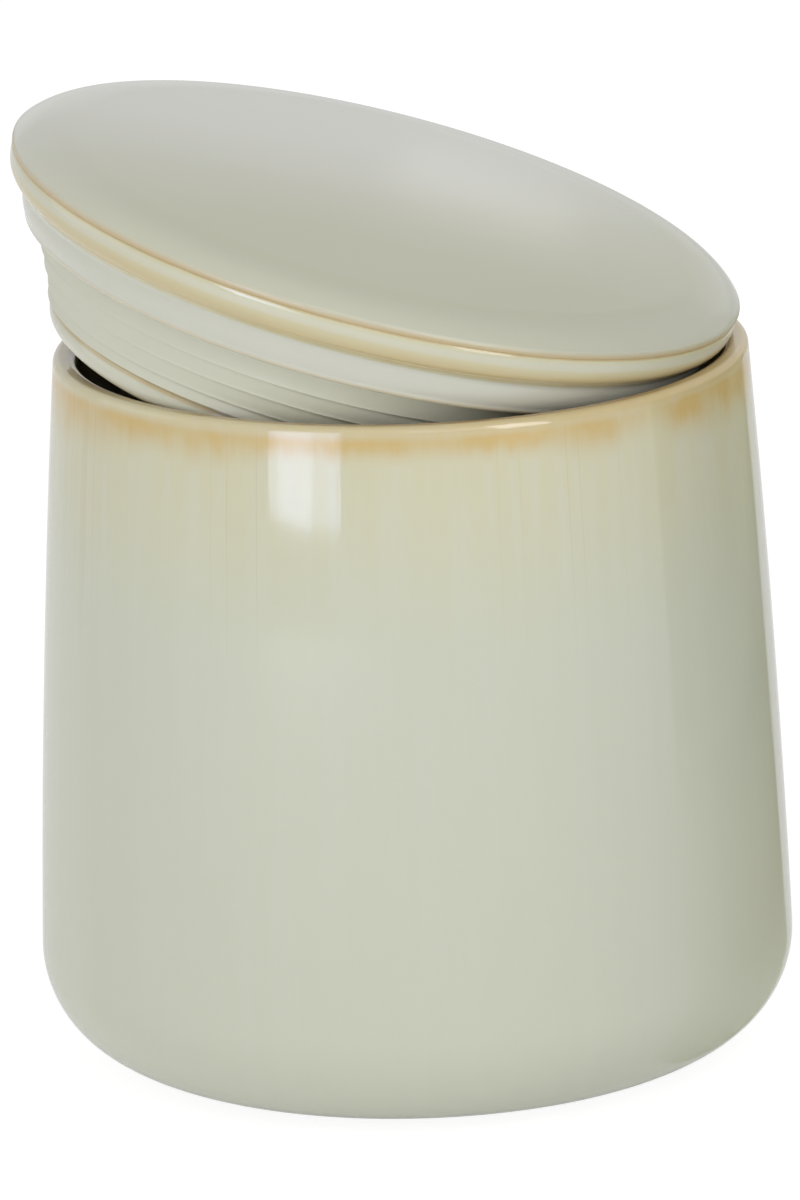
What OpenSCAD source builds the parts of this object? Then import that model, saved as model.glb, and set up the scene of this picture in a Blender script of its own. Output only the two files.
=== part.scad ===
// Stoneware storage canister: a flared jar, a disc lid with a collar and a hollow plug, and a
// ribbed silicone seal ring that sits in the plug's groove. Millimetres, +Z up, with the origin
// on the table at the centre of the foot. The lid leans in the mouth, tipped to one side.

/* [Jar] */
// Height of the jar from the table to the top of the rim
jar_h = 131; // [115:1:160]
// Outside diameter of the rim
rim_d = 125.8; // [116:0.2:136]
// How much further out the wall stands at the base corner than at the rim
wall_flare = 6; // [4:0.1:8]
// How far the wall bows outwards halfway down
wall_bow = 0.6; // [0:0.1:1.2]
// Radius of the corner where the wall turns under to the base
base_corner_r = 19; // [14:0.5:22]
// Thickness of the wall, which ends in a fully rounded rim
wall_t = 5.4; // [4.8:0.1:6]
// Thickness of the floor
floor_t = 6; // [5:0.5:8]
// Height of the bare foot ring
foot_h = 1; // [0.6:0.1:2]
// Width of the bare foot ring
foot_w = 4.5; // [3:0.5:7]
// How far the foot ring stays inside the end of the base corner
foot_inset = 2; // [1:0.5:5]
// How deep the base is hollowed inside the foot ring
foot_recess = 1.8; // [1:0.1:2.5]

/* [Lid] */
// How far the disc reaches past the rim all round
disc_overhang = 4.5; // [3:0.1:6]
// Height of the nose's middle above the collar
edge_h = 6.6; // [6:0.1:7.2]
// Radius of the nose, which is the disc's outermost edge
nose_r = 1; // [0.8:0.05:1.2]
// How far the nose turns under towards the crease below it
nose_turn = 30; // [15:1:40]
// Radius of the bead below the crease
bead_r = 1.8; // [1.4:0.1:2.2]
// How far the bead stays inside the nose
bead_inset = 0.2; // [0.1:0.05:0.4]
// How far the bead's middle sits below the nose's middle
bead_drop = 1.5; // [1.4:0.1:1.8]
// Width of the band below the bead
edge_flat = 1.2; // [0.8:0.1:1.6]
// How far the band leans inwards towards its lower side
edge_lean = 4; // [2:1:8]
// Radius of the gentle stretch where the top begins to turn down
ease_r = 36; // [28:1:44]
// How far the gentle stretch turns before the roll
ease_turn = 10; // [6:1:12]
// Radius of the broad roll down to the disc's edge
roll_r = 9.4; // [8:0.1:11]
// Slope of the roll where it meets the nose
roll_turn = 48; // [42:1:52]
// Radius of the rounding below the band
edge_under_r = 4.2; // [3.6:0.1:4.8]
// How far the top swells upwards at its middle
crown_h = 0.8; // [0.2:0.1:2]
// Height of the collar that stands on the rim when the lid is closed
collar_h = 6.8; // [5.4:0.1:9]
// How far the collar's lower edge stays inside the rim's outside
collar_inset = 0.6; // [0:0.1:1.5]
// How much wider the collar is at its top than at its lower edge
collar_flare = 1.3; // [0.6:0.1:1.6]
// How far the collar's side swells outwards halfway down
collar_swell = 0.25; // [0:0.05:0.5]
// Radius of the collar's lower edge
collar_edge_r = 1.2; // [0.6:0.1:1.8]
// Radius of the cove between the collar and the disc
cove_r = 1.6; // [1:0.1:2]
// Height of the flange below the seal
flange_h = 4.9; // [4:0.1:7]
// Gap between the flange and the wall of the mouth
flange_gap = 4.1; // [3:0.1:5]
// How far the flange stands out past the groove's floor
groove_d = 2.6; // [2:0.1:3.5]
// How far the flange narrows towards its lower edge
flange_taper = 1.2; // [0.6:0.1:1.6]
// Radius of the flange's upper edge
flange_edge_r = 0.5; // [0.3:0.1:0.8]
// Radius of the flange's lower edge
flange_foot_r = 1.4; // [0.8:0.1:2]
// Thickness of the plug's wall at the flange
plug_t = 6; // [5.5:0.5:8]
// Radius of the inner edge at the plug's foot
plug_edge_r = 1; // [0.5:0.1:1.4]
// How much the hollow narrows towards its ceiling, on the radius
hollow_draft = 2; // [1:0.2:3]
// Radius of the corner between the hollow's side and its ceiling
hollow_corner_r = 8; // [5:0.5:10]
// Thickness of the disc over the hollow of the plug
disc_t = 9.2; // [8:0.2:10.5]

/* [Seal] */
// Height of the groove that holds the seal ring
seal_h = 13.4; // [12.4:0.1:15]
// Number of sealing ribs
rib_count = 3; // [2:1:3]
// Distance from one rib to the next
rib_pitch = 3.4; // [3:0.1:3.6]
// How far the first rib is squeezed by the mouth
rib_squeeze = 0.6; // [0.2:0.1:1]
// How much shorter each rib is than the one above it
rib_step = 1.45; // [1:0.05:1.6]
// How far a rib stands out past the ring below it
rib_d = 0.55; // [0.4:0.05:0.9]
// Height of the lowest rib above the flange
rib_low = 2.4; // [1.6:0.1:3]
// Radius of a rib's edge
rib_edge_r = 0.3; // [0.2:0.05:0.4]
// Clearance between the seal ring and its groove
seal_gap = 0.1; // [0.05:0.05:0.2]

/* [Resting lid] */
// How far the lid is tipped out of level
lid_tilt = 15.7; // [12:0.1:18]
// Compass direction of the low side, from +X towards +Y
lean_dir = -11.7; // [-180:0.1:180]
// Clearance where the lid rests on the rim
rest_gap = 0.3; // [0.2:0.05:0.5]

/* [Hidden] */
$fn = 96;

glaze_green = "#c9cbb9";
glaze_pale = "#cdcfc2";
silicone = "#c3c6bb";

rim_r = rim_d / 2;
lip_r = wall_t / 2;
lip_centre = [rim_r - lip_r, jar_h - lip_r];
mouth_r = rim_r - wall_t;
base_r = rim_r + wall_flare;

disc_r = rim_r + disc_overhang;
collar_r = rim_r - collar_inset;
nose_centre = [disc_r - nose_r, collar_h + edge_h];
bead_centre = [disc_r - bead_inset - bead_r, nose_centre.y - bead_drop];
roll_centre = nose_centre - (roll_r - nose_r) * [sin(roll_turn), cos(roll_turn)];
ease_centre = roll_centre - (ease_r - roll_r) * [sin(ease_turn), cos(ease_turn)];
disc_top = ease_centre.y + ease_r;
flange_r = mouth_r - flange_gap;
neck_r = flange_r - groove_d;
plug_in_r = flange_r - plug_t;
flange_top = -seal_h;
plug_bottom = flange_top - flange_h;

// Points of a round stretch about c, from angle a0 to angle a1
function arc(c, r, a0, a1) =
    let (n = ceil(abs(a1 - a0) / 10))
    [for (i = [0 : n]) c + r * [cos(a0 + (a1 - a0) * i / n), sin(a0 + (a1 - a0) * i / n)]];

// Lean of the wall where it runs into the base corner
corner_lead = atan((wall_flare - 4 * wall_bow) / (jar_h - lip_r - foot_h - base_corner_r));
corner_centre = [base_r - base_corner_r * cos(corner_lead), foot_h + base_corner_r];
wall_low = corner_centre.y + base_corner_r * sin(corner_lead);

// Outside radius of the wall at a share k of the way from the rim down to the base corner
function wall_at(k) = rim_r + wall_flare * k + 4 * wall_bow * k * (1 - k);

// Points of the wall's outside, moved in by t, between share k0 and share k1
function wall_points(t, k0, k1) =
    [for (i = [1 : 7])
        let (k = k0 + (k1 - k0) * i / 8)
        [wall_at(k) - t, lip_centre.y + (wall_low - lip_centre.y) * k]];

floor_z = foot_recess + floor_t;
inner_corner_r = base_corner_r - wall_t;
inner_low = floor_z + inner_corner_r;
inner_share = (lip_centre.y - inner_low) / (lip_centre.y - wall_low);
inner_corner = [wall_at(inner_share) - wall_t - inner_corner_r, inner_low];
foot_out_r = corner_centre.x - foot_inset;
foot_in_r = foot_out_r - foot_w;

jar_outline = concat(
    [[0, foot_recess], [foot_in_r - foot_recess, foot_recess], [foot_in_r, 0], [foot_out_r, 0]],
    [[foot_out_r, foot_h]],
    arc(corner_centre, base_corner_r, -90, corner_lead),
    wall_points(0, 1, 0),
    arc(lip_centre, lip_r, 0, 180),
    wall_points(wall_t, 0, inner_share),
    arc(inner_corner, inner_corner_r, 0, -90),
    [[0, floor_z]]
);

// The lid is drawn level, with z = 0 at the collar's underside, which closes on the rim
band_low = bead_centre + bead_r * [cos(edge_lean), -sin(edge_lean)]
    - edge_flat * [sin(edge_lean), cos(edge_lean)];
under_centre = band_low - edge_under_r * [cos(edge_lean), -sin(edge_lean)];
under_turn = 64;
collar_low = [collar_r, collar_edge_r];
collar_top = [collar_r + collar_flare, collar_h - cove_r];
cove_centre = collar_top + [cove_r, 0];

// The collar's side runs from its top to its lower edge with a slight swell
collar_side = [for (i = [1 : 4])
    collar_top + (collar_low - collar_top) * i / 4 + [collar_swell * sin(45 * i), 0]];

lid_top = concat(
    [for (i = [0 : 8])
        let (r = ease_centre.x * i / 8)
        [r, disc_top + crown_h * (1 - pow(i / 8, 2))]],
    arc(ease_centre, ease_r, 88, 91 - ease_turn),
    arc(roll_centre, roll_r, 90 - ease_turn, 95 - roll_turn),
    arc(nose_centre, nose_r, 90 - roll_turn, -nose_turn)
);

lid_rim = concat(
    arc(bead_centre, bead_r, 25, -edge_lean),
    arc(under_centre, edge_under_r, -edge_lean, -under_turn),
    arc(cove_centre, cove_r, 180 - under_turn, 180),
    collar_side,
    arc([collar_r - collar_edge_r, collar_edge_r], collar_edge_r, -15, -90)
);

flange_side = concat(
    arc([flange_r - flange_edge_r, flange_top - flange_edge_r], flange_edge_r, 90, 0),
    arc([flange_r - flange_taper - flange_foot_r, plug_bottom + flange_foot_r], flange_foot_r, 0, -90)
);

hollow_top = disc_top - disc_t;
hollow_corner = [plug_in_r - hollow_draft - hollow_corner_r, hollow_top - hollow_corner_r];
plug_hollow = concat(
    arc([plug_in_r + plug_edge_r, plug_bottom + plug_edge_r], plug_edge_r, -90, -180),
    arc(hollow_corner, hollow_corner_r, 0, 90),
    [[0, hollow_top]]
);

lid_outline = concat(
    lid_top,
    lid_rim,
    [[neck_r, 0], [neck_r, flange_top]],
    flange_side,
    plug_hollow
);

// The ring narrows downwards in steps. Each rib ends in a rounded edge and a small ledge below it.
function rib_reach(i) = mouth_r + rib_squeeze - i * rib_step;
function rib_z(i) = flange_top + rib_low + (rib_count - 1 - i) * rib_pitch;
function rib(i) = concat(
    arc([rib_reach(i) - rib_edge_r, rib_z(i)], rib_edge_r, 15, -90),
    [[rib_reach(i) - rib_d, rib_z(i) - rib_edge_r]]
);

band_r = rib_reach(rib_count - 1) - rib_d;
seal_outline = concat(
    [[neck_r + seal_gap, -seal_gap], [rib_reach(0) + rib_step - rib_d, -seal_gap]],
    [for (i = [0 : rib_count - 1]) each rib(i)],
    [[band_r, flange_top + seal_gap], [neck_r + seal_gap, flange_top + seal_gap]]
);

// The tipped lid sinks into the mouth until it can go no lower. lift_for gives the height at
// which the ring p of the lid clears the rounded rim at angle a, with the lid slid along the lean.
rest_rings = concat(lid_rim, flange_side, seal_outline);
function lift_for(p, a, slide) =
    let (
        across = slide + p.x * cos(a) * cos(lid_tilt) + p.y * sin(lid_tilt),
        off = abs(norm([across, p.x * sin(a)]) - lip_centre.x),
        reach = lip_r + rest_gap,
        drop = p.x * cos(a) * sin(lid_tilt) - p.y * cos(lid_tilt)
    )
    off < reach ? lip_centre.y + sqrt(reach * reach - off * off) + drop : 0;
function lift_at(slide) = max([for (p = rest_rings) for (a = [0 : 3 : 180]) lift_for(p, a, slide)]);

// Narrows the slide down to the place where the lid stands lowest
function settle(low, high, turns) =
    let (third = (high - low) / 3)
    turns == 0 ? (low + high) / 2
    : lift_at(low + third) < lift_at(high - third) ? settle(low, high - third, turns - 1)
    : settle(low + third, high, turns - 1);

lid_slide = settle(-0.25 * mouth_r, 0, 18);
lid_lift = lift_at(lid_slide);

// Tips the level lid over and sets it down in the mouth
module leaning() {
    rotate([0, 0, lean_dir])
        translate([lid_slide, 0, lid_lift])
            rotate([0, lid_tilt, 0])
                children();
}

module jar_body() {
    color(glaze_green)
        rotate_extrude()
            polygon(jar_outline);
}

module lid() {
    color(glaze_pale)
        leaning()
            rotate_extrude()
                polygon(lid_outline);
}

module seal_ring() {
    color(silicone)
        leaning()
            rotate_extrude()
                polygon(seal_outline);
}

jar_body();
lid();
seal_ring();
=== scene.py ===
import math

import bmesh
import bpy
from bpy.props import FloatProperty, FloatVectorProperty, IntProperty, PointerProperty
from mathutils import Matrix, Vector, noise


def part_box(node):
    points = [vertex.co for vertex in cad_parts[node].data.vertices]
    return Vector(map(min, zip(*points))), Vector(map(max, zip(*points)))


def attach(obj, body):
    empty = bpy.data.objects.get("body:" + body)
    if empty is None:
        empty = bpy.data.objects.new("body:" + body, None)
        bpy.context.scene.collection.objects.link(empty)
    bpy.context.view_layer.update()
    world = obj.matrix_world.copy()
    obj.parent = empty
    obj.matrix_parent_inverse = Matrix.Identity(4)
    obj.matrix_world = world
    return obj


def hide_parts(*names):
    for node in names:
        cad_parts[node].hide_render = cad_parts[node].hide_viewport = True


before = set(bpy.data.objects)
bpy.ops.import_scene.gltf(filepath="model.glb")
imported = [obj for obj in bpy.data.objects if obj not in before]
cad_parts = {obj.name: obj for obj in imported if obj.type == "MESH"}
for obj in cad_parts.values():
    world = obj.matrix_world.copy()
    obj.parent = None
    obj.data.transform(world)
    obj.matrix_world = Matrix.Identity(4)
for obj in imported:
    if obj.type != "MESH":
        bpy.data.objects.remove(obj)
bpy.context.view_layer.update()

JAR_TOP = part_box("jar_body")[1][2]
MM = 0.001
QUARTER = math.pi / 2
WHITE = (1, 1, 1, 1)

# Steps round a thrown shape, the angle past which an edge is sharp, and how near points are welded
TURNS = 224
SHARP = math.radians(40)
WELD = 0.002 * MM

# Slope of a bow of height 1 at the ends of a line of length 1
BOW_SLOPE = 4

bl_info = {
    "name": "Stoneware Canister",
    "version": (1, 0, 0),
    "blender": (4, 5, 0),
    "location": "View3D > Sidebar > Canister",
    "description": "Throws a glazed stoneware canister, its leaning lid and the lid's silicone seal",
    "category": "Object",
}


def linear(red, green, blue):
    """A colour written as 0 to 255 on screen, as the linear numbers that a shader takes."""
    shares = [value / 255 for value in (red, green, blue)]
    return tuple(s / 12.92 if s <= 0.04045 else ((s + 0.055) / 1.055) ** 2.4 for s in shares)


def length(name, description, millimetres):
    """A size that a user may change, with its default in millimetres."""
    return FloatProperty(
        name=name,
        description=description,
        default=millimetres * MM,
        unit="LENGTH",
        subtype="DISTANCE",
        precision=5,
    )


def turn(name, description, degrees):
    """An angle that a user may change, with its default in degrees."""
    angle = math.radians(degrees)
    return FloatProperty(name=name, description=description, default=angle, subtype="ANGLE")


def share(name, description, default):
    """A plain number from 0 to 1 that a user may change."""
    return FloatProperty(
        name=name, description=description, default=default, min=0, max=1, subtype="FACTOR"
    )


def colour(name, description, red, green, blue):
    """A colour that a user may change, with its default as it shows on screen."""
    return FloatVectorProperty(
        name=name,
        description=description,
        default=linear(red, green, blue),
        min=0,
        max=1,
        subtype="COLOR",
    )


class JarSizes(bpy.types.PropertyGroup):
    """Sizes of the jar."""

    height: length("Height", "From the table to the top of the rim", JAR_TOP / MM)
    rim_radius: length("Rim radius", "Outside radius of the rim", 62.9)
    flare: length("Flare", "How much further out the wall stands at the base corner", 6)
    bow: length("Bow", "How far the wall bows out halfway down", 0.6)
    wall: length("Wall", "Thickness of the wall", 4.6)
    lip_outer: length("Lip outside", "Radius of the rim's outer edge", 1.4)
    lip_inner: length("Lip inside", "Radius of the rim's inner edge", 2.2)
    base_corner: length("Base corner", "Radius where the wall turns under", 19)
    floor: length("Floor", "Thickness of the floor", 6)
    foot_height: length("Foot height", "Height of the bare foot ring", 1)
    foot_width: length("Foot width", "Width of the bare foot ring", 4.5)
    foot_inset: length("Foot inset", "How far the foot ring stays inside the base corner", 2)
    foot_recess: length("Foot recess", "How deep the base is hollowed inside the ring", 1.8)
    waver: length("Waver", "How far the wall wavers from a true circle", 0.12)


class LidSizes(bpy.types.PropertyGroup):
    """Sizes of the lid, and how it leans in the mouth."""

    disc_radius: length("Disc radius", "Radius of the flat disc", 67.4)
    nose_height: length("Nose height", "Height of the nose's middle above the collar", 6.6)
    nose: length("Nose", "Radius of the nose, which is the disc's outermost edge", 1)
    nose_turn: turn("Nose turn", "How far the nose turns under towards the crease", 30)
    bead: length("Bead", "Radius of the bead below the crease", 1.8)
    bead_inset: length("Bead inset", "How far the bead stays inside the nose", 0.2)
    bead_drop: length("Bead drop", "How far the bead's middle sits below the nose's middle", 1.5)
    bead_start: turn("Bead start", "How far above level the bead comes out of the crease", 25)
    edge_flat: length("Edge band", "Width of the band below the bead", 1.2)
    edge_lean: turn("Edge lean", "How far the band leans inwards", 4)
    ease: length("Ease", "Radius where the top begins to turn down", 36)
    ease_turn: turn("Ease turn", "How far the gentle stretch turns", 10)
    roll: length("Roll", "Radius of the broad roll down to the edge", 9.4)
    roll_turn: turn("Roll turn", "Slope of the roll where it meets the nose", 48)
    under: length("Under edge", "Radius of the rounding below the band", 4.2)
    under_turn: turn("Under turn", "How far the rounding has turned where it meets the cove", 64)
    crown: length("Crown", "How far the top swells at its middle", 0.8)
    collar_radius: length("Collar radius", "Radius of the collar's side at its foot", 62.3)
    collar_height: length("Collar height", "Height of the collar", 6.8)
    collar_flare: length("Collar flare", "How much wider the collar is at its top", 1.3)
    collar_swell: length("Collar swell", "How far the collar's side swells", 0.25)
    collar_edge: length("Collar edge", "Radius that rounds the collar's lower edge", 1.2)
    cove: length("Cove", "Radius between the collar and the disc", 1.6)
    flange_radius: length("Flange radius", "Radius of the flange below the seal", 53.4)
    flange_height: length("Flange height", "Height of the flange", 5.1)
    flange_swell: length("Flange swell", "How far the flange's side swells", 0.4)
    flange_turn: turn("Flange turn", "How steeply the flange swells below its upper edge", 25)
    flange_edge: length("Flange edge", "Radius of the flange's upper edge", 0.5)
    flange_foot: length("Flange foot", "Radius of the flange's round side and lower edge", 3.2)
    groove: length("Groove", "How far the flange stands out past the groove", 2.6)
    groove_height: length("Groove height", "Height of the groove that holds the seal", 13.4)
    plug_wall: length("Plug wall", "Thickness of the plug's wall", 6)
    plug_edge: length("Plug edge", "Radius of the inner edge at the plug's foot", 1)
    hollow_draft: length("Hollow draft", "How much the hollow narrows upwards", 2)
    hollow_corner: length("Hollow corner", "Radius between the hollow's side and ceiling", 8)
    disc_thickness: length("Disc thickness", "Thickness of the disc over the hollow", 9.2)
    tilt: turn("Tilt", "How far the lid is tipped out of level", 15.7)
    lean: turn("Lean", "Compass direction of the lid's low side", -11.7)
    slide: length("Slide", "How far the lid has slid towards its low side", -7.24493)
    lift: length("Lift", "Height of the collar's underside on the lid's axis", 140.883)
    waver: length("Waver", "How far the lid wavers from a true circle", 0.08)


class SealSizes(bpy.types.PropertyGroup):
    """Sizes of the seal ring."""

    reach: length("Reach", "Radius of the top rib's edge", 58.1)
    step: length("Step", "How much shorter each rib is than the one above", 1.45)
    pitch: length("Pitch", "Distance from one rib to the next", 3.4)
    ribs: IntProperty(name="Ribs", description="Number of sealing ribs", default=3, min=1, max=4)
    rib_depth: length("Rib depth", "How far a rib stands out past the ring below it", 0.55)
    rib_low: length("Lowest rib", "Height of the lowest rib above the flange", 2.4)
    rib_edge: length("Rib edge", "Radius of a rib's edge", 0.3)
    rib_lead: turn("Rib lead", "How far above level a rib's edge begins to round", 15)
    root: length("Root", "Rounding below a rib", 0.1)
    gap: length("Gap", "Clearance between the ring and its groove", 0.1)
    waver: length("Waver", "How far the soft ribs wander up and down", 0.06)


class GlazeFinish(bpy.types.PropertyGroup):
    """Colours, gloss and runs of the glaze, and colours of the bare clay and the silicone."""

    celadon: colour("Celadon", "Where the glaze lies thick on the jar", 196, 199, 182)
    cream: colour("Cream", "Where the glaze thins below the rim", 201, 198, 169)
    ochre: colour("Ochre", "Where the glaze breaks over an edge", 198, 172, 115)
    burnt: colour("Burnt", "The thin line on the sharpest edges", 163, 128, 84)
    mist: colour("Mist", "The bluish glaze that pools on the lid", 203, 204, 192)
    sage: colour("Sage", "The glaze on the front of the lid's top", 186, 186, 161)
    # Painted sheen: a paler tone for the reflection on the back of the lid's top and the light on its
    # edge
    painted_sheen: colour("Haze", "The glaze on the back of the lid's top", 200, 201, 191)
    # Painted shade: a darker tone for the shaded low side of the lid's top
    painted_low_side_shade: colour("Moss", "The glaze on the low side of the lid's top", 172, 173, 148)
    clay: colour("Clay", "The bare stoneware of the foot", 196, 180, 152)
    silicone: colour("Silicone", "The seal ring", 203, 204, 187)
    # This paler tone serves both the dust and the painted light on the rib edges
    silicone_dusty_and_lit: colour("Silicone, pale", "Where the seal is thin or rubbed", 211, 212, 197)
    gloss: share("Gloss roughness", "Roughness of the fired glaze", 0.06)
    top_gloss: share("Top roughness", "Roughness of the glaze on the lid's top", 0.12)
    cream_start: length("Cream start", "How far below the rim the cream begins to thicken", 4)
    cream_end: length("Cream end", "How far below the rim it has thickened to celadon", 44)
    lip_depth: length("Lip depth", "How far below the rim the ochre begins to hang", 2.9)
    drip_least: length("Drip, least", "How long the ochre's drips are where it is weak", 3.4)
    drip_more: length("Drip, more", "How much longer they are where it is strong", 7.2)
    bald_at: turn("Bald at", "Compass direction of a stretch with less ochre", -48.5)
    bald_half: turn("Bald half", "Half the width of that stretch", 6.92)
    bald_core: turn("Bald core", "Half the width of its barest part", 2.54)
    hairline_start: length("Hairline start", "How far below the rim hairlines begin to fade", 12)
    hairline_end: length("Hairline end", "How far below the rim hairlines have faded", 60)


class StageSizes(bpy.types.PropertyGroup):
    """The camera, the floor and the light."""

    distance: length("Distance", "From the object to the camera", 1600)
    camera_height: length("Camera height", "Height of the camera", 519.4)
    pitch: turn("Pitch", "How far the camera looks down", 15.264)
    roll: turn("Roll", "How far the camera is turned about its view", -1.696)
    yaw: turn("Yaw", "How far the camera looks to its left", 0.0516)
    lens: FloatProperty(name="Lens", description="Focal length", default=273.2, unit="CAMERA")
    sensor: FloatProperty(name="Sensor", description="Sensor width", default=36, unit="CAMERA")
    floor_width: length("Floor", "Width of the floor", 8000)
    ambient: share("Ambient", "Level of the light from all round", 0.58)
    mirrored: share("Mirrored", "How white the surroundings show in gloss", 0.4)
    paper: share("Paper", "How much of the floor's white is its own shading", 0.2)
    floor_glow: FloatProperty(
        name="Floor glow", description="Makes up for the floor's shading", default=1.15
    )


def bow(k):
    """How far a bow of height 1 has swelled at a share k of its line."""
    return BOW_SLOPE * k * (1 - k)


def heading(angle):
    """A step of length 1 in an outline, turned from straight up towards the outside."""
    return Vector((math.sin(angle), math.cos(angle)))


class Outline:
    """A piece's outline, drawn from point to point in the XZ plane and then turned on the wheel."""

    def __init__(self, radius, height):
        self.bm = bmesh.new()
        self.tip = self.bm.verts.new((radius, 0, height))

    def line(self, radius, height, cuts=0, swell=(0, 0)):
        """Draws on to a point, with cuts points between that swell out by up to swell."""
        start = self.tip.co.copy()
        run = Vector((radius, 0, height)) - start
        outwards = Vector((swell[0], 0, swell[1]))
        for i in range(1, cuts + 2):
            k = i / (cuts + 1)
            self.tip = bmesh.ops.extrude_vert_indiv(self.bm, verts=[self.tip])["verts"][0]
            self.tip.co = start + run * k + outwards * bow(k)
        return self.tip

    def arc(self, radius, height, angle, steps):
        """Draws on round a centre, from +X towards +Z where the angle is positive."""
        made = bmesh.ops.spin(
            self.bm,
            geom=[self.tip],
            cent=(radius, 0, height),
            axis=(0, -1, 0),
            angle=angle,
            steps=steps,
        )
        self.tip = [v for v in made["geom_last"] if isinstance(v, bmesh.types.BMVert)][0]

    def soften(self, verts, size):
        """Rounds corners of the outline."""
        bmesh.ops.bevel(
            self.bm, geom=verts, offset=size, segments=3, profile=0.5, affect="VERTICES", material=-1
        )

    def throw(self):
        """Turns the outline once round the Z axis and closes its seam and poles."""
        bmesh.ops.spin(
            self.bm,
            geom=self.bm.verts[:] + self.bm.edges[:],
            cent=(0, 0, 0),
            axis=(0, 0, 1),
            angle=math.tau,
            steps=TURNS,
            use_merge=True,
        )
        bmesh.ops.remove_doubles(self.bm, verts=self.bm.verts, dist=WELD)
        bmesh.ops.recalc_face_normals(self.bm, faces=self.bm.faces)
        return self.bm


def waver(bm, amount, upright=False, across=26, along=9):
    """Moves a thrown shape slightly off its true form, as hands and the kiln do.

    The drift is outwards, or upright, and across and along say how often it changes in a metre.
    """
    finer = 2.7
    finer_share = 0.4
    finer_start = Vector((5, 9, 2))
    for vert in bm.verts:
        point = vert.co
        radius = math.hypot(point.x, point.y)
        if radius < MM:
            continue
        spot = Vector((point.x * across, point.y * across, point.z * along))
        drift = noise.noise(spot) + finer_share * noise.noise(spot * finer + finer_start)
        if upright:
            vert.co.z += amount * drift
        else:
            vert.co.x += amount * drift * point.x / radius
            vert.co.y += amount * drift * point.y / radius


def make_object(bm, name, material):
    """Makes a finished shape an object with its material."""
    mesh = bpy.data.meshes.new(name)
    bm.to_mesh(mesh)
    bm.free()
    if not mesh.polygons:
        raise RuntimeError("no faces were made for " + name)
    mesh.materials.append(material)
    obj = bpy.data.objects.new(name, mesh)
    bpy.context.collection.objects.link(obj)
    return obj


def piece(bm, node, finish, material, body):
    """Makes a finished shape a smooth object that rides on its body in place of the CAD node."""
    for face in bm.faces:
        face.smooth = True
    for edge in bm.edges:
        edge.smooth = edge.calc_face_angle(0) < SHARP
    obj = make_object(bm, node + "_" + finish, material)
    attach(obj, body)
    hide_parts(node)


class Wire:
    """A value on its way between shader nodes. Arithmetic on it adds Math nodes."""

    def __init__(self, sheet, socket):
        self.sheet = sheet
        self.socket = socket

    def __add__(self, other):
        return self.sheet.math("ADD", self, other)

    def __radd__(self, other):
        return self.sheet.math("ADD", other, self)

    def __sub__(self, other):
        return self.sheet.math("SUBTRACT", self, other)

    def __rsub__(self, other):
        return self.sheet.math("SUBTRACT", other, self)

    def __mul__(self, other):
        return self.sheet.math("MULTIPLY", self, other)

    def __rmul__(self, other):
        return self.sheet.math("MULTIPLY", other, self)

    def __pow__(self, other):
        return self.sheet.math("POWER", self, other)

    def __rpow__(self, other):
        return self.sheet.math("POWER", other, self)


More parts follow.
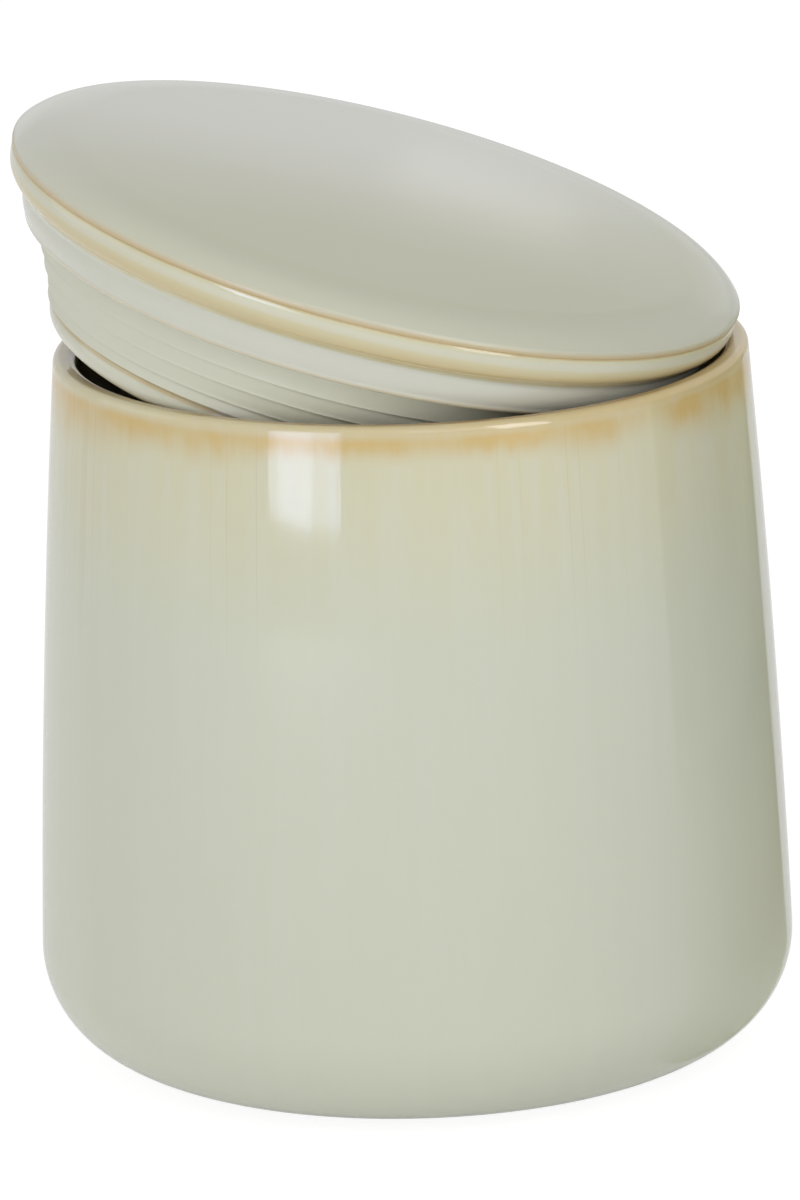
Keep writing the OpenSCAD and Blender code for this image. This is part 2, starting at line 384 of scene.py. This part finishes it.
class Sheet:
    """The node sheet of one material or of the world."""

    # Numbers of the Mix node's sockets for colours
    MIX_SHARE = 0
    MIX_FIRST = 6
    MIX_SECOND = 7
    MIX_RESULT = 2

    def __init__(self, owner):
        owner.use_nodes = True
        self.owner = owner
        self.tree = owner.node_tree
        self.tree.nodes.clear()

    def node(self, kind, settings=None, sockets=None, out=0):
        """Adds a node, sets its settings, then fills its sockets by name or number."""
        node = self.tree.nodes.new(kind)
        for key, value in (settings or {}).items():
            setattr(node, key, value)
        for key, value in (sockets or {}).items():
            if isinstance(value, Wire):
                self.tree.links.new(value.socket, node.inputs[key])
            else:
                node.inputs[key].default_value = value
        return Wire(self, node.outputs[out]) if node.outputs else node

    def math(self, operation, *values):
        """One sum on numbers."""
        return self.node("ShaderNodeMath", {"operation": operation}, dict(enumerate(values)))

    def vector(self, operation, *values, out=0):
        """One sum on vectors."""
        sockets = dict(enumerate(values))
        return self.node("ShaderNodeVectorMath", {"operation": operation}, sockets, out)

    def rise(self, value, low, high):
        """A soft step from 0 below low to 1 above high."""
        return self.node(
            "ShaderNodeMapRange",
            {"interpolation_type": "SMOOTHSTEP"},
            {"Value": value, "From Min": low, "From Max": high},
        )

    def fall(self, value, low, high):
        """A soft step from 1 below low to 0 above high."""
        return 1 - self.rise(value, low, high)

    def band(self, value, low, high, soft):
        """1 between low and high, with soft edges outside them."""
        return self.rise(value, low - soft, low) * self.fall(value, high, high + soft)

    def mix(self, amount, first, second):
        """The first colour, going over to the second as amount goes from 0 to 1."""
        first, second = [tone if isinstance(tone, Wire) else (*tone, 1) for tone in (first, second)]
        return self.node(
            "ShaderNodeMix",
            {"data_type": "RGBA", "clamp_factor": True},
            {self.MIX_SHARE: amount, self.MIX_FIRST: first, self.MIX_SECOND: second},
            self.MIX_RESULT,
        )

    def grain(self, vector, scale, detail=2, roughness=0.5):
        """Cloudy noise from 0 to 1."""
        return self.node(
            "ShaderNodeTexNoise",
            None,
            {"Vector": vector, "Scale": scale, "Detail": detail, "Roughness": roughness},
        )

    def place(self):
        """Where a point lies on its object."""
        return self.node("ShaderNodeTexCoord", out="Object")

    def split(self, vector):
        """The three numbers of a vector."""
        return [self.node("ShaderNodeSeparateXYZ", None, {0: vector}, i) for i in range(3)]

    def about_axis(self, place):
        """How far a place lies from the Z axis, and in which direction."""
        level = self.vector("MULTIPLY", place, (1, 1, 0))
        return self.vector("LENGTH", level, out="Value"), self.vector("NORMALIZE", level)

    def bump(self, height, strength, distance):
        """The normal of a fine relief."""
        return self.node(
            "ShaderNodeBump", None, {"Height": height, "Strength": strength, "Distance": distance}
        )

    def surface(self, shader):
        """Ends the sheet of a material in a shader and returns the material."""
        self.node("ShaderNodeOutputMaterial", None, {"Surface": shader})
        return self.owner

    def finish(self, **sockets):
        """Ends the sheet in one Principled surface and returns the material."""
        named = {key.replace("_", " "): value for key, value in sockets.items()}
        return self.surface(self.node("ShaderNodeBsdfPrincipled", None, named))


def new_sheet(name):
    """The empty sheet of a new material."""
    return Sheet(bpy.data.materials.new(name))


def fired(sheet, body, rough, relief):
    """Ends a sheet as fired glaze and returns the material."""
    bump = sheet.bump(relief, strength=0.12, distance=0.1 * MM)
    return sheet.finish(Base_Color=body, Roughness=rough, Normal=bump, IOR=1.52)


def lip_inside(jar):
    """Radius at which the rim's flat top begins to turn inwards."""
    return jar.rim_radius - jar.wall + jar.lip_inner


def jar_glaze(jar, glaze):
    """Celadon that thins to cream and breaks ochre below the rim, with runs down the wall."""
    sheet = new_sheet("jar_glaze")
    place = sheet.place()
    radius, around = sheet.about_axis(place)
    side = sheet.split(around)[0]
    z = sheet.split(place)[2]
    depth = jar.height - z

    # Streaks run straight down the wall
    streak = sheet.vector("MULTIPLY_ADD", place, (0, 0, 1), around)
    patches = sheet.grain(around, scale=2.4)
    runs = sheet.grain(streak, scale=16, detail=3, roughness=0.6)
    hairs = sheet.grain(streak, scale=60, roughness=0.6)
    clouds = sheet.grain(place, scale=30, detail=3)

    # The glaze thickens from cream to celadon on its way down
    ragged = depth + 10 * MM * (clouds - 0.5) + 8 * MM * (runs - 0.5)
    thin = sheet.fall(ragged, glaze.cream_start, glaze.cream_end)
    body = sheet.mix(thin, glaze.celadon, glaze.cream)
    body = sheet.mix(sheet.rise(runs, 0.4, 0.7) * (0.12 + 0.3 * thin), body, glaze.mist)

    # The ochre is thinner in one narrow stretch
    outwards = (math.cos(glaze.bald_at), math.sin(glaze.bald_at), 0)
    facing = sheet.vector("DOT_PRODUCT", around, outwards, out="Value")
    bald = sheet.rise(facing, math.cos(glaze.bald_half), math.cos(glaze.bald_core))

    # Ochre breaks out below the lip, more so at the sides, and its lower edge hangs in drips
    strong = sheet.rise(patches + 0.4 * side * side, 0.5, 0.95)
    reach = glaze.drip_least + glaze.drip_more * strong
    below = sheet.rise(depth, 0.8 * MM, glaze.lip_depth)
    drip_end = glaze.lip_depth + 1.5 * MM + reach
    hang = sheet.fall(depth - reach * (runs - 0.5), glaze.lip_depth, drip_end)
    spots = sheet.rise(sheet.grain(place, scale=110), 0.32, 0.68)
    broken = below * hang ** 1.5 * (0.8 + 0.3 * hairs) * (0.75 + 0.4 * spots) * (1 - 0.45 * bald)
    body = sheet.mix(broken, body, glaze.ochre)
    body = sheet.mix((1 - below) * (0.5 + 0.3 * side), body, glaze.ochre)

    # Hairline runs, where a drip has drawn the glaze thin
    line = sheet.grain(around, scale=9, detail=1)
    fine = sheet.fall(sheet.math("ABSOLUTE", line - 0.5), 0, 0.006)
    fine = fine * sheet.fall(depth, glaze.hairline_start, glaze.hairline_end)
    fine = fine * sheet.rise(patches, 0.45, 0.6) * below
    body = sheet.mix(fine * 0.35, body, glaze.burnt)

    # A thin burnt line where the rim turns inwards, fainter at the sides
    crest_at = lip_inside(jar)
    crest = sheet.band(radius, crest_at - 1.6 * MM, crest_at + 0.9 * MM, soft=0.5 * MM)
    crest = crest * sheet.fall(depth, 1.6 * MM, 3 * MM)
    body = sheet.mix(crest * (0.7 - 0.6 * side * side), body, glaze.burnt)

    # Bare clay on the foot ring
    bare = sheet.fall(z + 0.5 * MM * (hairs - 0.5), 0.45 * MM, 0.75 * MM)
    speck = sheet.grain(place, scale=900, detail=3, roughness=0.7)
    clay = sheet.mix(speck * 0.5, glaze.clay, glaze.burnt)
    body = sheet.mix(bare, body, clay)

    # A fine peel, broad swells, and runs that stand up from the wall
    peel = sheet.grain(place, scale=420)
    swells = sheet.grain(place, scale=45, detail=1)
    rough = glaze.gloss + 0.05 * (clouds - 0.5) + 0.06 * broken + 0.55 * bare
    relief = peel * 0.12 + swells * 1.4 + runs * 2.4 + speck * bare
    return fired(sheet, body, rough, relief)


def crease_height(lid):
    """Height of the crease on the level lid, just over halfway from bead to nose."""
    return lid.collar_height + lid.nose_height - lid.bead_drop / 2 + 0.1 * MM


def lid_place(lid):
    """Tips the level lid over and sets it down in the mouth."""
    lean = Matrix.Rotation(lid.lean, 4, "Z")
    return lean @ Matrix.Translation((lid.slide, 0, lid.lift)) @ Matrix.Rotation(lid.tilt, 4, "Y")


def lid_coordinates(sheet, lid):
    """Object coordinates, turned back so that the lid is level with its collar at z 0."""
    centre = lid_place(lid).to_translation()
    return sheet.node(
        "ShaderNodeMapping",
        {"vector_type": "TEXTURE"},
        {"Vector": sheet.place(), "Location": centre, "Rotation": (0, lid.tilt, lid.lean)},
    )


def lid_glaze(lid, glaze):
    """Sage on the lid's top, misty on its collar, and ochre wherever an edge breaks the glaze."""
    sheet = new_sheet("lid_glaze")
    place = lid_coordinates(sheet, lid)
    x, y, z = sheet.split(place)
    radius, around = sheet.about_axis(place)
    patches = sheet.grain(around, scale=2.6, detail=3)
    streak = sheet.vector("MULTIPLY_ADD", place, (0, 0, 30), around)
    runs = sheet.grain(streak, scale=16, detail=3, roughness=0.6)
    clouds = sheet.grain(place, scale=26, detail=3)
    fleck = sheet.grain(place, scale=240, detail=3, roughness=0.65)
    loose = z + 0.8 * MM * (runs - 0.5)
    steady = z + 0.2 * MM * (runs - 0.5)
    crease = crease_height(lid)
    collar_top = lid.collar_height
    flange = -lid.groove_height
    foot = flange - lid.flange_height

    # The top is sage in front, made paler behind and along its edge by a painted sheen, and darker on
    # the low side by painted shade
    top = sheet.rise(z, crease + 0.1 * MM, crease + 0.9 * MM)
    # Painted reflection: the top turns paler towards its back
    far = sheet.rise(y - 0.6 * x + 22 * MM * (clouds - 0.5), -42 * MM, 46 * MM)
    pool = sheet.mix(far, glaze.sage, glaze.painted_sheen)
    # Painted shade: the top turns darker towards its low side
    pool = sheet.mix(0.5 * sheet.rise(x, 5 * MM, 70 * MM), pool, glaze.painted_low_side_shade)
    body = sheet.mix(top, glaze.mist, pool)
    # Painted light: paler along the top's edge, where it rolls over towards the light
    rim = top * sheet.rise(radius, lid.disc_radius - 11 * MM, lid.disc_radius - 2 * MM)
    body = sheet.mix(rim * 0.4, body, glaze.painted_sheen)

    # The edge below the crease is cream, with a painted highlight in the misty tone on the bead, and
    # the flange is creamy too, partly its glaze and partly painted light
    side = sheet.band(z, collar_top - 0.4 * MM, crease, soft=0.4 * MM)
    body = sheet.mix(side, body, glaze.cream)
    # Painted highlight: the lit bulge of the bead, in the misty tone
    painted_bead_light = sheet.band(z, crease - 2.1 * MM, crease - 1.3 * MM, soft=0.6 * MM)
    body = sheet.mix(painted_bead_light * 0.6, body, glaze.mist)
    # Partly the flange's warmer glaze, partly painted light that lifts the shade it stands in
    plug = sheet.fall(z, flange - 1 * MM, flange + 1 * MM)
    body = sheet.mix(plug * 0.3, body, glaze.cream)

    # Ochre towards the cove, a tan ring in the crease, and lines on the edges of collar and flange
    tan = Vector(glaze.ochre).lerp(Vector(glaze.burnt), 0.35)
    under = sheet.rise(loose, collar_top - 0.4 * MM, collar_top + 0.4 * MM)
    under = under * sheet.fall(loose, collar_top + 1.2 * MM, collar_top + 4.8 * MM)
    ring = sheet.rise(steady, crease - 0.5 * MM, crease - 0.1 * MM)
    ring = ring * sheet.fall(steady, crease + 0.2 * MM, crease + 1.5 * MM)
    collar = sheet.band(z, 0.15 * MM, 0.7 * MM, soft=0.5 * MM)
    lip = sheet.band(z, flange - 0.9 * MM, flange - 0.1 * MM, soft=0.6 * MM)
    low = sheet.fall(loose, foot + 0.4 * MM, foot + 1.4 * MM)
    for mask, tone, even, patchy in (
        (under, glaze.ochre, 0.35, 0.4),
        (ring, tan, 0.55, 0.3),
        (collar, glaze.ochre, 0.15, 0.3),
        (lip, glaze.ochre, 0.35, 0.5),
        (low, glaze.ochre, 0.2, 0.5),
    ):
        body = sheet.mix(mask * (even + patchy * patches), body, tone)

    # Bare clay where the plug stood in the kiln
    bare = sheet.fall(z + 0.3 * MM * (fleck - 0.5), foot + 0.12 * MM, foot + 0.3 * MM)
    clay = sheet.mix(fleck * 0.6, glaze.clay, glaze.burnt)
    body = sheet.mix(bare, body, clay)

    # The top is a little duller than the side, and the nose duller still
    peel = sheet.grain(place, scale=380)
    swells = sheet.grain(place, scale=40, detail=1)
    nose = sheet.band(z, crease + 0.1 * MM, crease + 1.2 * MM, soft=0.4 * MM)
    rough = glaze.gloss + (glaze.top_gloss - glaze.gloss) * top + 0.3 * nose
    rough = rough + 0.03 * (clouds - 0.5) + 0.5 * bare
    relief = peel * 0.12 + swells * 1.2 + fleck * bare
    return fired(sheet, body, rough, relief)


def rib_height(lid, seal, i):
    """Height of a rib's edge on the level lid."""
    return -lid.groove_height + seal.rib_low + (seal.ribs - 1 - i) * seal.pitch


def seal_silicone(lid, seal, glaze):
    """Satin silicone with painted light along the edges of its ribs, and some dust."""
    sheet = new_sheet("seal_silicone")
    place = lid_coordinates(sheet, lid)
    z = sheet.split(place)[2]
    dust = sheet.grain(place, scale=60, detail=4, roughness=0.6)
    mould = sheet.grain(place, scale=1500)
    edges = [rib_height(lid, seal, i) for i in range(seal.ribs)]
    # Painted highlight: paler lines where the ribs' rounded edges catch the light
    pale = sum(sheet.band(z, edge - 0.2 * MM, edge + 0.2 * MM, soft=0.4 * MM) for edge in edges)
    body = sheet.mix(pale * 0.1 + 0.2 * (dust - 0.5), glaze.silicone, glaze.silicone_dusty_and_lit)
    rough = 0.45 + 0.1 * (dust - 0.5)
    bump = sheet.bump(mould + dust * 0.6, strength=0.1, distance=0.05 * MM)
    return sheet.finish(Base_Color=body, Roughness=rough, Normal=bump, IOR=1.42)


class CANISTER_OT_jar(bpy.types.Operator):
    """Throw the jar and glaze it"""

    bl_idname = "canister.jar"
    bl_label = "Throw jar"

    def execute(self, context):
        jar = context.scene.canister_jar
        lip_height = jar.height - jar.lip_outer
        lip_turn = lip_inside(jar)
        corner_height = jar.foot_height + jar.base_corner
        lead = math.atan((jar.flare - BOW_SLOPE * jar.bow) / (lip_height - corner_height))
        corner = jar.rim_radius + jar.flare - jar.base_corner * math.cos(lead)
        foot = corner - jar.foot_inset
        floor = jar.foot_recess + jar.floor
        inner = jar.base_corner - jar.wall

        # The inside follows the wall for a share k of its run, which bows k times k as far
        wall_low = corner_height + jar.base_corner * math.sin(lead)
        k = (lip_height - floor - inner) / (lip_height - wall_low)
        inside = jar.rim_radius + jar.flare * k + jar.bow * bow(k) - jar.wall

        outline = Outline(0, jar.foot_recess)
        outline.line(foot - jar.foot_width - jar.foot_recess, jar.foot_recess, cuts=5)
        outline.line(foot - jar.foot_width, 0, cuts=2)
        outline.line(foot, 0, cuts=3)
        outline.line(foot, jar.foot_height)
        outline.line(corner, jar.foot_height, cuts=1)
        outline.arc(corner, corner_height, QUARTER + lead, steps=22)
        outline.line(jar.rim_radius, lip_height, cuts=26, swell=(jar.bow, 0))
        outline.arc(jar.rim_radius - jar.lip_outer, lip_height, QUARTER, steps=10)
        outline.line(lip_turn, jar.height, cuts=1)
        outline.arc(lip_turn, jar.height - jar.lip_inner, QUARTER, steps=12)
        outline.line(inside, floor + inner, cuts=18, swell=(jar.bow * k * k, 0))
        outline.arc(inside - inner, floor + inner, -QUARTER, steps=12)
        outline.line(0, floor, cuts=8)
        bm = outline.throw()
        waver(bm, jar.waver)
        material = jar_glaze(jar, context.scene.canister_glaze)
        piece(bm, "jar_body", "glazed", material, "jar")
        return {"FINISHED"}


class CANISTER_OT_lid(bpy.types.Operator):
    """Throw the lid, glaze it and lean it in the mouth"""

    bl_idname = "canister.lid"
    bl_label = "Throw lid"

    def execute(self, context):
        lid = context.scene.canister_lid
        nose = Vector((lid.disc_radius - lid.nose, lid.collar_height + lid.nose_height))
        roll = nose - (lid.roll - lid.nose) * heading(lid.roll_turn)
        ease = roll - (lid.ease - lid.roll) * heading(lid.ease_turn)
        disc_top = ease.y + lid.ease

        # This swell makes the crown level at its middle
        outline = Outline(0, disc_top + lid.crown)
        outline.line(ease.x, disc_top, cuts=26, swell=(0, lid.crown / BOW_SLOPE))
        outline.arc(*ease, -lid.ease_turn, steps=8)
        outline.arc(*roll, lid.ease_turn - lid.roll_turn, steps=14)
        outline.arc(*nose, lid.roll_turn - QUARTER - lid.nose_turn, steps=10)
        self.draw_edge(outline, lid, nose.y - lid.bead_drop)
        self.draw_collar(outline, lid)
        self.draw_plug(outline, lid)
        self.draw_hollow(outline, lid, disc_top - lid.disc_thickness)
        bm = outline.throw()
        waver(bm, lid.waver)
        bmesh.ops.transform(bm, matrix=lid_place(lid), verts=bm.verts)
        material = lid_glaze(lid, context.scene.canister_glaze)
        piece(bm, "lid", "glazed", material, "lid")
        return {"FINISHED"}

    @staticmethod
    def draw_edge(outline, lid, bead_height):
        """The bead, the band below it and the rounding under that."""
        bead = Vector((lid.disc_radius - lid.bead_inset - lid.bead, bead_height))
        outwards = heading(QUARTER + lid.edge_lean)
        band_low = bead + lid.bead * outwards - lid.edge_flat * heading(lid.edge_lean)
        under = band_low - lid.under * outwards
        outline.line(*(bead + lid.bead * heading(QUARTER - lid.bead_start)))
        outline.arc(*bead, -lid.bead_start - lid.edge_lean, steps=8)
        outline.line(*band_low, cuts=2)
        outline.arc(*under, lid.edge_lean - lid.under_turn, steps=12)

    @staticmethod
    def draw_collar(outline, lid):
        """The cove below the disc, and the collar down to its rounded lower edge."""
        cove_radius = lid.collar_radius + lid.collar_flare + lid.cove
        cove = Vector((cove_radius, lid.collar_height - lid.cove))
        outline.line(*(cove + lid.cove * heading(lid.under_turn - QUARTER)))
        outline.arc(*cove, lid.under_turn, steps=8)
        outline.line(lid.collar_radius, lid.collar_edge, cuts=8, swell=(lid.collar_swell, 0))
        outline.arc(lid.collar_radius - lid.collar_edge, lid.collar_edge, -QUARTER, steps=8)

    @staticmethod
    def draw_plug(outline, lid):
        """The groove for the seal, and the flange below it with its round side."""
        neck = lid.flange_radius - lid.groove
        flange = -lid.groove_height
        edge = lid.flange_radius - lid.flange_edge
        foot_radius = lid.flange_radius + lid.flange_swell - lid.flange_foot
        foot = Vector((foot_radius, flange - lid.flange_height + lid.flange_foot))
        outline.line(neck, 0, cuts=4)
        outline.line(neck, flange, cuts=4)
        outline.line(edge, flange, cuts=1)
        outline.arc(edge, flange - lid.flange_edge, -QUARTER, steps=6)
        outline.line(*(foot + lid.flange_foot * heading(QUARTER - lid.flange_turn)), cuts=1)
        outline.arc(*foot, -QUARTER - lid.flange_turn, steps=14)

    @staticmethod
    def draw_hollow(outline, lid, ceiling):
        """The plug's foot, and the hollow up to its ceiling."""
        foot = -lid.groove_height - lid.flange_height
        inside = lid.flange_radius - lid.plug_wall
        edge = inside + lid.plug_edge
        narrow = inside - lid.hollow_draft
        corner_height = ceiling - lid.hollow_corner
        outline.line(edge, foot, cuts=2)
        outline.arc(edge, foot + lid.plug_edge, -QUARTER, steps=6)
        outline.line(narrow, corner_height, cuts=6)
        outline.arc(narrow - lid.hollow_corner, corner_height, QUARTER, steps=10)
        outline.line(0, ceiling, cuts=10)


class CANISTER_OT_seal(bpy.types.Operator):
    """Mould the seal ring and stretch it into the lid's groove"""

    bl_idname = "canister.seal"
    bl_label = "Mould seal"

    def execute(self, context):
        lid = context.scene.canister_lid
        seal = context.scene.canister_seal
        neck = lid.flange_radius - lid.groove + seal.gap
        low = seal.gap - lid.groove_height

        outline = Outline(neck, -seal.gap)
        outline.line(seal.reach + seal.step - seal.rib_depth, -seal.gap, cuts=3)
        ledges = []
        for i in range(seal.ribs):
            reach = seal.reach - i * seal.step
            ledge = reach - seal.rib_depth
            edge = Vector((reach - seal.rib_edge, rib_height(lid, seal, i)))
            outline.line(*(edge + seal.rib_edge * heading(QUARTER - seal.rib_lead)), cuts=4)
            outline.arc(*edge, -QUARTER - seal.rib_lead, steps=6)
            ledges.append(outline.line(ledge, edge.y - seal.rib_edge))
        outline.line(ledge, low, cuts=2)
        outline.line(neck, low, cuts=2)
        outline.line(neck, -seal.gap, cuts=4)
        outline.soften(ledges, seal.root)
        bm = outline.throw()
        waver(bm, seal.waver, upright=True, across=34)
        bmesh.ops.transform(bm, matrix=lid_place(lid), verts=bm.verts)
        material = seal_silicone(lid, seal, context.scene.canister_glaze)
        piece(bm, "seal_ring", "soft", material, "lid")
        return {"FINISHED"}


def seen(sheet, mirrored):
    """1 where the camera sees white straight or through glass, and mirrored where gloss shows it."""
    kinds = ("Is Camera Ray", "Is Transmission Ray", "Is Glossy Ray")
    straight, through, gloss = [sheet.node("ShaderNodeLightPath", out=kind) for kind in kinds]
    return sheet.math("MAXIMUM", sheet.math("MAXIMUM", straight, through), gloss * mirrored)


def lay_floor(stage):
    """A floor that shows mostly as plain white, with a share of paper that keeps the shadow."""
    sheet = new_sheet("floor_white")
    plain = seen(sheet, stage.mirrored) * (1 - stage.paper)
    paper_white = (0.92, 0.92, 0.91, 1)
    paper = sheet.node("ShaderNodeBsdfDiffuse", None, {"Color": paper_white})
    glow = sheet.node("ShaderNodeEmission", None, {"Color": WHITE, "Strength": stage.floor_glow})
    blend = sheet.node("ShaderNodeMixShader", None, {0: plain, 1: paper, 2: glow})
    bm = bmesh.new()
    bmesh.ops.create_grid(bm, x_segments=4, y_segments=4, size=stage.floor_width / 2)
    floor = make_object(bm, "floor", sheet.surface(blend))


def paint_world(scene, stage):
    """White to the camera, duller in gloss, and an even level of light on everything."""
    scene.world = bpy.data.worlds.new("studio")
    sheet = Sheet(scene.world)
    level = stage.ambient + (1 - stage.ambient) * seen(sheet, stage.mirrored)
    sky = sheet.node("ShaderNodeBackground", None, {"Color": WHITE, "Strength": level})
    sheet.node("ShaderNodeOutputWorld", None, {"Surface": sky})


def panel_light(name, place, target, width, height, glow, only="", tint=(1, 1, 1)):
    """A soft panel that glows evenly and faces its target, and may be only mirrored or only a wash."""
    lamp = bpy.data.lights.new(name, "AREA")
    lamp.shape = "RECTANGLE"
    lamp.size = width
    lamp.size_y = height
    lamp.color = tint
    lamp.energy = glow * math.pi * width * height
    obj = bpy.data.objects.new(name, lamp)
    aim = Vector(target) - Vector(place)
    obj.matrix_world = Matrix.Translation(place) @ aim.to_track_quat("-Z", "Y").to_matrix().to_4x4()
    obj.visible_diffuse = only != "mirrored"
    obj.visible_glossy = only != "wash"
    bpy.context.collection.objects.link(obj)


def level_light(name, x, y, low, width, height, glow, only, tint=(1, 1, 1)):
    """An upright panel that begins at a height and faces the jar's axis."""
    z = low + height / 2
    panel_light(name, (x, y, z), (0, 0, z), width, height, glow, only, tint)


def hang_lamps():
    """Windows and a strip, split into what the glaze mirrors and what lights it, and soft fills."""
    sill = 0.034
    mirrored_height = 0.386
    wash_height = 0.186
    sky = (0.85, 0.95, 1.4)
    for name, x, y, width, mirrored, lit in (
        ("window", -0.36, -0.6, 0.28, 3.2, 4.1),
        ("window_core", -0.388, -0.58, 0.13, 1.8, 2.2),
    ):
        level_light(name + "_mirrored", x, y, sill, width, mirrored_height, mirrored, "mirrored", sky)
        level_light(name + "_wash", x, y, sill, width, wash_height, lit, "wash")
    level_light(
        "strip_mirrored", 0.62, -0.79, low=0.05, width=0.3, height=1.05, glow=5, only="mirrored"
    )

    jar_middle = (0, 0, 0.09)
    lid_middle = (0, 0, 0.155)
    table_front = (0, -0.35, 0)
    for name, place, target, width, height, glow, only in (
        ("strip_wash", (0.56, -0.9, 1.15), jar_middle, 0.35, 1.2, 3, "wash"),
        ("front_fill", (0.55, -1.45, 0.9), jar_middle, 1.1, 0.9, 1.2, ""),
        ("left_fill", (-1.45, 0.2, 0.5), jar_middle, 1, 1, 0.62, ""),
        ("table_fill", (-0.15, -0.8, 0.95), table_front, 0.8, 0.6, 0.5, ""),
        ("streak", (0.243, 1.46, 0.56), lid_middle, 0.08, 0.05, 0.42, ""),
        ("back_fill", (0.1, 1.5, 0.45), lid_middle, 1.6, 0.35, 0.15, ""),
    ):
        panel_light(name, place, target, width, height, glow, only)


def olive_card(name, place, pale, near=1, start=-1):
    """An unseen card, narrowed to a share near at the jar's end, that turns olive past its start."""
    bm = bmesh.new()
    bmesh.ops.create_grid(bm, x_segments=12, y_segments=12, size=0.5)
    fade = bm.verts.layers.float.new("fade")
    away = bm.verts.layers.float.new("away")
    for vert in bm.verts:
        vert[fade] = vert.co.y + 0.5
        vert[away] = vert.co.x + 0.5
        vert.co.y = vert[fade] * (near + (1 - near) * vert[away]) - 0.5
    bmesh.ops.transform(bm, matrix=place, verts=bm.verts)

    # Its pale edges towards the viewer and the jar don't show as lines in the gloss
    sheet = new_sheet(name)
    along = sheet.node("ShaderNodeAttribute", {"attribute_name": "fade"}, out="Fac")
    out = sheet.node("ShaderNodeAttribute", {"attribute_name": "away"}, out="Fac")
    dark = sheet.rise(along, 0, 0.27) * sheet.rise(out, start, start + 0.25)
    straw = (0.9, 0.9, 0.75)
    olive = (pale, pale, 0.6 * pale)
    felt = sheet.node("ShaderNodeBsdfDiffuse", None, {"Color": sheet.mix(dark, straw, olive)})
    card = make_object(bm, name, sheet.surface(felt))
    card.visible_camera = False
    return card


def card_place(centre, width, depth, turned=0):
    """Sizes a square card of width 1, turns it up from level and moves it to its centre."""
    size = Matrix.Diagonal((width, depth, 1, 1))
    return Matrix.Translation(centre) @ Matrix.Rotation(turned, 4, "Y") @ size


def stand_cards(jar):
    """Cards out of the picture dull the jar's right side: one takes light, two are only mirrored."""
    out = 0.3
    tall = 0.16
    deep = 0.58
    shade_deep = 0.34

    swung = Matrix.Rotation(math.radians(15), 4, "Z")
    place = swung @ card_place((out, 0, tall / 2), tall, shade_deep, QUARTER)
    shade = olive_card("card_shade", place, pale=0.12)
    shade.visible_glossy = False

    # The mirrored cards begin at the jar's base, halfway round from the front to the right
    reach = (jar.rim_radius + jar.flare) * math.sqrt(0.5)
    corner = Matrix.Translation((reach, -reach, 0))
    place = corner @ card_place((out, deep / 2, tall / 2), tall, deep, QUARTER)
    upright = olive_card("card_upright", place, pale=0.62)
    place = corner @ card_place((out / 2, deep / 2, 0.5 * MM), out, deep)
    flat = olive_card("card_flat", place, pale=0.45, near=0.02, start=0.05)
    for card in (upright, flat):
        card.visible_diffuse = False
        card.visible_shadow = False


def set_camera(scene, stage):
    """A long lens in front of the canister, looking slightly down."""
    camera = bpy.data.cameras.new("camera")
    camera.sensor_width = stage.sensor
    camera.lens = stage.lens
    eye = bpy.data.objects.new("camera", camera)
    look = Matrix.Rotation(stage.yaw, 4, "Z") @ Matrix.Rotation(QUARTER - stage.pitch, 4, "X")
    look = look @ Matrix.Rotation(stage.roll, 4, "Z")
    eye.matrix_world = Matrix.Translation((0, -stage.distance, stage.camera_height)) @ look
    bpy.context.collection.objects.link(eye)
    scene.camera = eye


class CANISTER_OT_stage(bpy.types.Operator):
    """Lay the floor, hang the light and set up the camera"""

    bl_idname = "canister.stage"
    bl_label = "Set stage"

    def execute(self, context):
        scene = context.scene
        stage = scene.canister_stage
        scene.view_settings.view_transform = "Standard"
        lay_floor(stage)
        paint_world(scene, stage)
        hang_lamps()
        stand_cards(scene.canister_jar)
        set_camera(scene, stage)
        return {"FINISHED"}


class CANISTER_PT_panel(bpy.types.Panel):
    """Lists the canister's pieces and sizes"""

    bl_idname = "CANISTER_PT_panel"
    bl_label = "Canister"
    bl_space_type = "VIEW_3D"
    bl_region_type = "UI"
    bl_category = "Canister"

    def draw(self, context):
        layout = self.layout
        for operator in OPERATORS:
            layout.operator(operator.bl_idname)
        for name, (group, title) in GROUPS.items():
            box = layout.box()
            box.label(text=title)
            settings = getattr(context.scene, name)
            for key in group.__annotations__:
                box.prop(settings, key)


GROUPS = {
    "canister_jar": (JarSizes, "Jar"),
    "canister_lid": (LidSizes, "Lid"),
    "canister_seal": (SealSizes, "Seal"),
    "canister_glaze": (GlazeFinish, "Glaze"),
    "canister_stage": (StageSizes, "Stage"),
}
OPERATORS = (CANISTER_OT_jar, CANISTER_OT_lid, CANISTER_OT_seal, CANISTER_OT_stage)


def register():
    for name, (group, title) in GROUPS.items():
        bpy.utils.register_class(group)
        setattr(bpy.types.Scene, name, PointerProperty(type=group, name=title))
    for kind in (*OPERATORS, CANISTER_PT_panel):
        bpy.utils.register_class(kind)


def unregister():
    for kind in (CANISTER_PT_panel, *reversed(OPERATORS)):
        bpy.utils.unregister_class(kind)
    for name, (group, title) in reversed(GROUPS.items()):
        delattr(bpy.types.Scene, name)
        bpy.utils.unregister_class(group)


def main():
    register()
    bpy.ops.canister.jar()
    bpy.ops.canister.lid()
    bpy.ops.canister.seal()
    bpy.ops.canister.stage()


if __name__ == "__main__":
    main()
